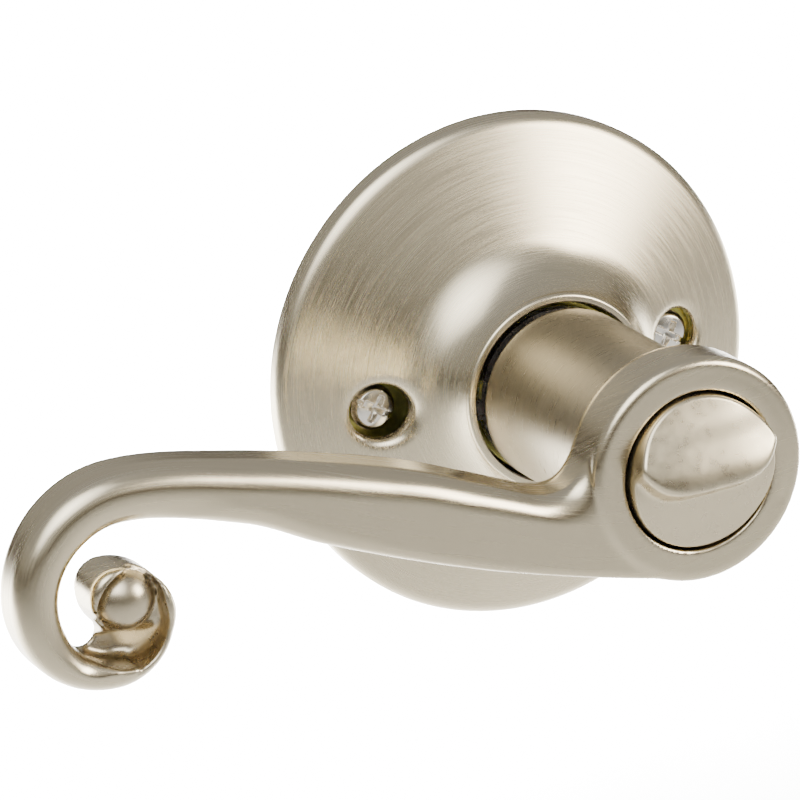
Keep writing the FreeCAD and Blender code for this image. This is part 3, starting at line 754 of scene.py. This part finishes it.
# ---- the lever -------------------------------------------------------------------------
def arm_outline():
    """The arm's plan: under the arm, round the gap, round the eye and the scroll, and back."""
    low = [ARM_ROOT] + ARM_LOW_EDGE + [GAP_TOP]
    top = [SCROLL_TOP] + ARM_TOP_EDGE
    turn = math.radians(GAP_END_ANGLE)
    middle = (GAP_R + CURL_WALL_R) / 2
    end = (GAP_CENTRE[0] + middle * math.cos(turn), GAP_CENTRE[1] + middle * math.sin(turn))
    parts = [
        smooth_line(low, (9.0, -16.0), level_mirror(GAP_TOP, ARM_LOW_EDGE[-1])),
        arc_points(GAP_CENTRE, GAP_R, 90, GAP_END_ANGLE, 50)[1:],
        arc_points(end, (GAP_R - CURL_WALL_R) / 2, GAP_END_ANGLE, GAP_END_ANGLE + 180, 24)[1:],
        arc_points(GAP_CENTRE, CURL_WALL_R, GAP_END_ANGLE, 180, 20)[1:],
        arc_points(CURL_CENTRE, CURL_R, 180, 90, 20),
        arc_points(EYE_TOP_CENTRE, EYE_TOP_R, 90, 0, 30)[1:],
        arc_points(EYE_LOW_CENTRE, EYE_LOW_R, 0, -90, 30)[1:],
        arc_points((SCROLL_BOTTOM[0], SCROLL_LEFT[1]), LOW_R, 270, 180, 36)[1:],
        arc_points((SCROLL_TOP[0], SCROLL_LEFT[1]), SCROLL_TOP[0] - SCROLL_LEFT[0], 180, 90, 40)[1:-1],
        smooth_line(top, level_mirror(SCROLL_TOP, ARM_TOP_EDGE[0]), (8.0, -7.0)),
    ]
    return np.vstack(parts)


def grain_line():
    """The line that the lever's brushing follows, from the head out round the scroll."""
    along = [(14.0, -4.0), (-10.0, -6.8), (-28.0, -0.9), (-43.0, 4.7), (-58.0, 10.9), (-73.4, 14.2)]
    arm = smooth_line(along, (30.0, -4.0), (-88.0, 11.0))
    scroll_top = arc_points((-73.4, 2.4), 11.8, 90, 180, 24)[1:]
    scroll_low = arc_points((-75.6, 2.4), 9.6, 180, 270, 24)[1:]
    eye = arc_points((-75.6, -0.4), 6.8, -90, 90, 24)[1:]
    return np.vstack([arm, scroll_top, scroll_low, eye])


def along_grain(points):
    """Each point's run along the grain line and its distance across it."""
    line = grain_line()
    run = np.concatenate([[0], np.cumsum(np.hypot(*np.diff(line, axis=0).T))])
    best = np.full(len(points), 1e9)
    length = np.zeros(len(points))
    across = np.zeros(len(points))
    for a, b, at in zip(line[:-1], line[1:], run):
        e = b - a
        size = math.hypot(*e)
        w = points[:, :2] - a
        t = np.clip((w @ e) / size**2, 0, 1)
        gap = np.hypot(*(w - t[:, None] * e).T)
        closer = gap < best
        side = (e[0] * w[:, 1] - e[1] * w[:, 0]) / size
        best = np.where(closer, gap, best)
        length = np.where(closer, at + t * size, length)
        across = np.where(closer, side, across)
    return length, across


class LeverField:
    """The lever: scrolled arm, head, neck, and what is cut out of them."""

    def __init__(self):
        outline = arm_outline()
        low, high = (-91.0, -18.0), (18.0, 21.0)
        self.plan = PlanTable(low, high, 0.14, lambda u, v: outline_distance(outline, u, v))

    def front(self, u):
        return ARM_FRONT_H[0] + (ARM_FRONT_H[1] - ARM_FRONT_H[0]) * u / ARM_TIP_U

    def back(self, u):
        return ARM_BACK_H[0] + (ARM_BACK_H[1] - ARM_BACK_H[0]) * u / ARM_TIP_U

    def edge_radius(self, u, v, h):
        top = np.interp(u, *UPPER_ROUND)
        low = np.interp(u, *LOWER_ROUND)
        middle = np.interp(u, *MIDDLE_LINE)
        upper = smooth_step((v - middle + 1.2) / 2.4)
        away = np.hypot(u - EYE_TOP_CENTRE[0], v - EYE_TOP_CENTRE[1])
        near_eye = smooth_step((8.6 - away) / 1.5)
        eye = near_eye * smooth_step((v + 4.0) / 4.0) * smooth_step((u + 80.5) / 2.0)
        front = low + (top - low) * upper
        front = front + (EYE_ROUND - front) * eye
        back = np.interp(u, *REAR_ROUND)
        facing = smooth_step((h - (self.front(u) + self.back(u)) / 2) + 0.5)
        return back + (front - back) * facing

    def floor(self, u, v):
        """Height of the web inside the eye: a level shelf, then a scoop at the lower left."""
        fall = smooth_step((-2.0 - v) / 1.6)
        away = np.hypot(u - SCOOP_CENTRE[0], (v - SCOOP_CENTRE[1]) * 1.1)
        scoop = smooth_step(1.25 - away / SCOOP_REACH)
        return SHELF_H - SCOOP_DEPTH * fall * scoop

    def well(self, u, v):
        """Plan of the hollow: the ball's nest, the shelf to its right and the bowl below."""
        eye = np.hypot(u - HOLLOW_CENTRE[0], v - HOLLOW_CENTRE[1]) - HOLLOW_R
        nest = np.hypot(u - BALL_CENTRE[0], v - BALL_CENTRE[1]) - BALL_R - BALL_GAP
        shelf = soft_max(soft_max(eye, BALL_CENTRE[0] - u, 0.5), v - 2.6, 2.0)
        arm_side = np.hypot(u - GAP_CENTRE[0], v - GAP_CENTRE[1]) - GAP_R
        bowl = soft_max(soft_max(eye, arm_side, 1.0), v + 1.6, 0.4)
        return soft_min(soft_min(nest, shelf, 0.3), bowl, 0.5)

    def head_radius(self, h):
        """The head opens out from the neck, then runs straight to its face."""
        t = np.clip((h - HEAD_BACK_H) / (HEAD_FLARE_H - HEAD_BACK_H), 0, 1)
        return HEAD_BACK_R + (HEAD_R - HEAD_BACK_R) * (1 - (1 - t) ** 1.7)

    def arm(self, u, v, h):
        plan = self.plan(u, v)
        head = np.hypot(u, v) - self.head_radius(h) + 0.3
        blend = 0.05 + HEAD_BLEND * smooth_step((v + 9.0) / 6.0)
        plan = soft_min(plan, head, blend)
        depth = np.maximum(h - self.front(u), self.back(u) - h)
        arm = rounded(plan, depth, self.edge_radius(u, v, h))
        well = soft_max(self.well(u, v), self.floor(u, v) - h, 1.2)
        arm = soft_max(arm, -well, 0.6)
        away = np.sqrt((u - BALL_CENTRE[0]) ** 2 + (v - BALL_CENTRE[1]) ** 2 + (h - BALL_CENTRE[2]) ** 2)
        return np.minimum(arm, np.maximum(away - BALL_R, self.back(u) + 1 - h))

    def __call__(self, p):
        u, v, h = p[:, 0], p[:, 1], p[:, 2]
        r = np.hypot(u, v)
        head = drum(r - self.head_radius(h) + HEAD_R, h, HEAD_R, HEAD_BACK_H, HEAD_FACE_H, HEAD_EDGE)
        head = head * 0.85
        neck = drum(r, h, NECK_R, NECK_REAR_H, HEAD_BACK_H + 2, 0.35)
        body = soft_min(self.arm(u, v, h), head, 0.25)
        body = soft_min(body, neck, 0.3)
        body = soft_max(body, -drum(r, h, CAVITY_R, CAVITY_FLOOR_H, 80, 0.2), 0.35)
        body = soft_max(body, -drum(r, h, NECK_BORE_R, -20, NECK_BORE_TOP, 0.2), 0.3)
        body = np.maximum(body, -drum(r, h, STEM_HOLE_R, 0, CAVITY_FLOOR_H + 2, 0.2))
        hole = np.hypot(u, h - SET_SCREW_H) - SET_SCREW_R
        return soft_max(body, -np.maximum(hole, v + 6.0), 0.3)


def make_lever(cast, neck, hollow):
    field = LeverField()
    points, faces = skin_of(field, (-89.2, -15.2, 16.4), (15.2, 18.8, 55.6), LEVER_STEP)
    middle = points[faces].mean(1)
    r = np.hypot(middle[:, 0], middle[:, 1])
    # Faces of the neck, which get the darker nickel that paints in shade.
    on_neck_painted_shade = (middle[:, 2] < HEAD_BACK_H - 0.2) & (r < NECK_R + 0.3)
    length, across = along_grain(points)
    side = across + 0.6 * points[:, 2]
    uvs = np.stack([length, side], 1)[faces].reshape(-1, 2)
    # Faces in the eye's hollow, which get the darker nickel that paints in shade.
    in_hollow_painted_shade = field.well(middle[:, 0], middle[:, 1]) < 0.5
    in_hollow_painted_shade &= (middle[:, 0] < -60) & (middle[:, 2] > 45.2)
    choice = on_neck_painted_shade * 1 + in_hollow_painted_shade * 2
    piece = make_piece("lever_handle", points, faces, [cast, neck, hollow], uvs, choice)
    recalculate(piece)
    return piece


# ---- the turn button -------------------------------------------------------------------
def soft_curve(x, at, values):
    """A smooth curve through a few values."""
    at, values = np.asarray(at, float), np.asarray(values, float)
    lean = np.gradient(values, at)
    i = np.clip(np.searchsorted(at, x) - 1, 0, len(at) - 2)
    span = at[i + 1] - at[i]
    t = np.clip((x - at[i]) / span, 0, 1)
    rise = values[i] * (1 + 2 * t) * (1 - t) ** 2 + values[i + 1] * t * t * (3 - 2 * t)
    return rise + span * (lean[i] * t * (1 - t) ** 2 - lean[i + 1] * t * t * (1 - t))


def button_height(u, v):
    """The finger scoop, its curled lip, the valley below it and the ramp to the edge."""
    wide = np.abs(u) / BUTTON_R
    lip_v = -1.4 + 4.4 * np.clip(wide, 0, 1) ** 4.5
    scoop = soft_curve(v - 0.25 * (lip_v + 1.5), *SCOOP_SECTION)
    pad = scoop - 1.1 * wide**3
    ramp = soft_curve(v, *RAMP_SECTION)
    ramp = ramp - 0.8 * wide**3
    step = smooth_step((v - lip_v + 1.1) / 1.9)
    return soft_max(ramp, ramp + (pad - ramp) * step, 0.3)


def make_turn_button(finish):
    r, a, u, v = polar_grid(BUTTON_R, BUTTON_RINGS, BUTTON_AROUND)
    h = button_height(u, v)
    for _ in range(BUTTON_SOFTENING):
        h[1:-1] = (h[:-2] + 2 * h[1:-1] + h[2:]) / 4
        h = (np.roll(h, 1, 1) + 2 * h + np.roll(h, -1, 1)) / 4
    edge = np.clip((r - BUTTON_R + BUTTON_EDGE) / BUTTON_EDGE, 0, 1)[:, None]
    h = h - BUTTON_EDGE * (1 - np.sqrt(np.maximum(1 - edge**2, 0)))
    points = np.vstack([[[0, 0, h[0].mean()]], np.stack([u, v, h], -1).reshape(-1, 3)]).tolist()
    faces = polar_faces(BUTTON_RINGS, BUTTON_AROUND)
    groove_r = STEM_R - CLIP_GROOVE
    below = [
        (BUTTON_R, BUTTON_BACK_H + 0.3), (BUTTON_R - 0.3, BUTTON_BACK_H),
        (STEM_R + 0.2, BUTTON_BACK_H), (STEM_R, BUTTON_BACK_H - 0.2),
        (STEM_R, CLIP_GROOVE_H[1]), (groove_r, CLIP_GROOVE_H[1]),
        (groove_r, CLIP_GROOVE_H[0]), (STEM_R, CLIP_GROOVE_H[0]),
        (STEM_R, STEM_END_H + 0.2), (STEM_R - 0.2, STEM_END_H),
    ]
    hang_rings(points, faces, below, a)
    piece = make_piece("turn_knob", points, faces, [finish])
    recalculate(piece)
    sharp_by_angle(piece, 50)
    return piece


# ---- the screws ------------------------------------------------------------------------
def screw_face(x, y):
    """Height of a domed head with a cross recess and a slot across it."""
    turn = math.radians(SCREW_TWIST)
    p = x * math.cos(turn) + y * math.sin(turn)
    q = -x * math.sin(turn) + y * math.cos(turn)
    r = np.hypot(x, y)
    dome = SCREW_HEAD_H - 0.16 * r**2 / SCREW_HEAD_R * 1.2
    dome = dome - 0.7 * smooth_step((r - SCREW_HEAD_R + 0.7) / 0.7) ** 1.5
    wing = np.minimum(np.abs(p), np.abs(q))
    reach = 1.9 - 0.25 * r
    cross = smooth_step((0.52 - wing) / 0.16) * smooth_step((reach - r + 0.5) / 0.4)
    slot = smooth_step((0.34 - np.abs(q)) / 0.12)
    depth = np.maximum(cross * np.clip(1.25 - 0.35 * r, 0.2, 1.2), slot * 0.55)
    return dome - depth


def thread_radius(height, angles):
    """The thread's radius round one level: a helix that fades in, and a tapered tip."""
    wave = np.abs(((height / THREAD_PITCH + angles / (2 * np.pi)) % 1.0) * 2 - 1)
    above_tip = height - SCREW_TIP_H
    fade = min(above_tip / 1.2, (SCREW_THREAD_H - height) / 0.8, 1.0)
    taper = 0.35 * max(1 - above_tip / 0.7, 0)
    return SCREW_THREAD_R - THREAD_DEPTH * wave * max(fade, 0.05) - taper


def make_screw(finish, tree):
    _, a, x, y = polar_grid(SCREW_HEAD_R, SCREW_RINGS, SCREW_AROUND)
    h = screw_face(x, y) + SCREW_SEAT_H
    middle = float(screw_face(np.zeros(1), np.zeros(1))[0]) + SCREW_SEAT_H
    points = np.vstack([[[0, 0, middle]], np.stack([x, y, h], -1).reshape(-1, 3)]).tolist()
    faces = polar_faces(SCREW_RINGS, SCREW_AROUND)
    below = [
        (SCREW_HEAD_R, SCREW_SEAT_H + 0.3), (SCREW_HEAD_R - 0.15, SCREW_SEAT_H),
        (SCREW_SHANK_R, SCREW_SEAT_H), (SCREW_SHANK_R, SCREW_THREAD_H),
    ]
    steps = int((SCREW_THREAD_H - SCREW_TIP_H) / THREAD_PITCH * RINGS_PER_TURN)
    heights = np.linspace(SCREW_THREAD_H, SCREW_TIP_H + 0.1, steps)
    below += [(thread_radius(height, a), height) for height in heights]
    hang_rings(points, faces, below, a)
    points = np.array(points)
    points[:, 0] += SCREW_OFFSET
    piece = make_piece("cover_screws", points, faces, [finish])
    recalculate(piece)
    sharp_by_angle(piece, 60)
    return repeat_about_spindle(piece, tree, 2, 0.0, finish)


# ---- stage, light and camera -----------------------------------------------------------
def make_floor():
    finish = Finish("floor")
    cloud = finish.noise(plain_grain(finish, 3.0, 0), 1.0)
    mix = finish.node("ShaderNodeMix", data_type="RGBA")
    finish.link(finish.spread(cloud, 0, 1), mix.inputs["Factor"])
    mix.inputs["A"].default_value = (0.93, 0.93, 0.925, 1)
    mix.inputs["B"].default_value = (0.95, 0.95, 0.945, 1)
    finish.link(mix.outputs["Result"], finish.shader.inputs["Base Color"])
    finish.shader.inputs["Roughness"].default_value = 0.9
    mesh = bpy.data.meshes.new("floor")
    corners = [(x * FLOOR_SIZE, y * FLOOR_SIZE, FLOOR_Z) for x, y in ((-1, -1), (1, -1), (1, 1), (-1, 1))]
    mesh.from_pydata(corners, [], [(0, 1, 2, 3)])
    mesh.materials.append(finish.material)
    floor = bpy.data.objects.new("floor", mesh)
    bpy.context.scene.collection.objects.link(floor)


def make_world():
    """Pale cool light from above, a brown band at the horizon and warm light from below."""
    world = bpy.data.worlds.new("studio")
    bpy.context.scene.world = world
    world.use_nodes = True
    tree = world.node_tree
    place = tree.nodes.new("ShaderNodeTexCoord")
    parts = tree.nodes.new("ShaderNodeSeparateXYZ")
    tree.links.new(place.outputs["Generated"], parts.inputs[0])
    spread = tree.nodes.new("ShaderNodeMapRange")
    spread.inputs["From Min"].default_value = -1.0
    tree.links.new(parts.outputs["Z"], spread.inputs["Value"])
    ramp = tree.nodes.new("ShaderNodeValToRGB")
    tree.links.new(spread.outputs[0], ramp.inputs[0])
    stops = [(0.0, (0.3, 0.27, 0.21)), (0.47, (0.3, 0.27, 0.21)), (0.505, (0.2, 0.165, 0.11)),
             (0.56, (0.26, 0.23, 0.18)), (0.64, (0.95, 0.94, 0.9)), (1.0, (1.0, 1.03, 1.12))]
    elements = ramp.color_ramp.elements
    while len(elements) < len(stops):
        elements.new(0.5)
    for element, (at, colour) in zip(elements, stops):
        element.position = at
        element.color = (*colour, 1)
    tree.links.new(ramp.outputs[0], tree.nodes["Background"].inputs["Color"])
    tree.nodes["Background"].inputs["Strength"].default_value = 0.52


def make_light(name, place, target, size, power, colour, spread=180.0):
    data = bpy.data.lights.new(name, "AREA")
    data.shape = "RECTANGLE"
    data.size, data.size_y = size
    data.energy = power
    data.color = colour
    data.spread = math.radians(spread)
    light = bpy.data.objects.new(name, data)
    light.location = place
    light.rotation_euler = (Vector(target) - Vector(place)).to_track_quat("-Z", "Y").to_euler()
    bpy.context.scene.collection.objects.link(light)


def make_camera():
    a, e, r = (math.radians(x) for x in (CAMERA_AZIMUTH, CAMERA_ELEVATION, CAMERA_ROLL))
    right = Vector((math.cos(a), math.sin(a), 0))
    up = Vector((-math.sin(a) * math.sin(e), math.cos(a) * math.sin(e), math.cos(e)))
    back = Vector((math.sin(a) * math.cos(e), -math.cos(a) * math.cos(e), math.sin(e)))
    across = math.cos(r) * right + math.sin(r) * up
    over = -math.sin(r) * right + math.cos(r) * up
    data = bpy.data.cameras.new("camera")
    data.lens = CAMERA_LENS
    data.sensor_width = CAMERA_FILM
    data.clip_start, data.clip_end = 0.01, 50.0
    camera = bpy.data.objects.new("camera", data)
    place = (CAMERA_DISTANCE * back - CAMERA_SLIDE[0] * across - CAMERA_SLIDE[1] * over) * MM
    turn = Matrix((across, over, back)).transposed().to_4x4()
    camera.matrix_world = Matrix.Translation(place) @ turn
    bpy.context.scene.collection.objects.link(camera)
    bpy.context.scene.camera = camera


# ---- assembly --------------------------------------------------------------------------
def paint_node(name, finish):
    """Gives a CAD node its finish."""
    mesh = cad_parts[name].data
    mesh.materials.clear()
    mesh.materials.append(finish)


NODE_FINISHES = {
    "mounting_plate": "yellow", "driver_cam": "yellow",
    "spring_housing": "bright", "housing_rivets": "bright",
    "spindle": "bright", "turn_bar": "bright", "rose_clips": "spring", "return_spring": "spring",
    "cam_retaining_ring": "spring", "wave_washer": "spring", "hub_retaining_ring": "spring",
    "spindle_ring": "spring", "button_clip": "spring", "button_spring_washer": "spring",
    "drive_hub": "dark", "turn_bar_pin": "dark", "lever_set_screw": "black",
    "hub_bushing": "nylon", "hub_thrust_washer": "nylon",
}

make_camera()
finishes = make_finishes()
ring = ring_tree()
for node, finish in NODE_FINISHES.items():
    paint_node(node, finishes[finish])
finish_piece(make_rose(finishes["rose"]), "chassis", "satin_nickel", "rose")
finish_piece(make_screw(finishes["screw"], ring), "chassis", "screw_steel", "mounting_screws")
lever = make_lever(finishes["cast"], finishes["neck"], finishes["hollow"])
finish_piece(lever, "lever_assembly", "satin_nickel_cast", "lever")
finish_piece(make_turn_button(finishes["button"]), "turn_assembly", "satin_nickel_cast", "turn_button")
make_floor()
make_world()
make_light("key", (-0.4, -0.6, 0.85), (0, 0, 0), (1.2, 0.9), 3.6, (0.98, 1.0, 1.04), 70.0)
make_light("fill", (0.7, -0.6, 0.35), (0, 0, 0), (0.5, 0.5), 1.2, (1.0, 0.95, 0.88), 50.0)
make_light("backdrop", (0.3, 0.75, 0.35), (0.3, 0.75, -0.2), (1.6, 1.0), 200.0, (1.0, 1.0, 1.0), 75.0)
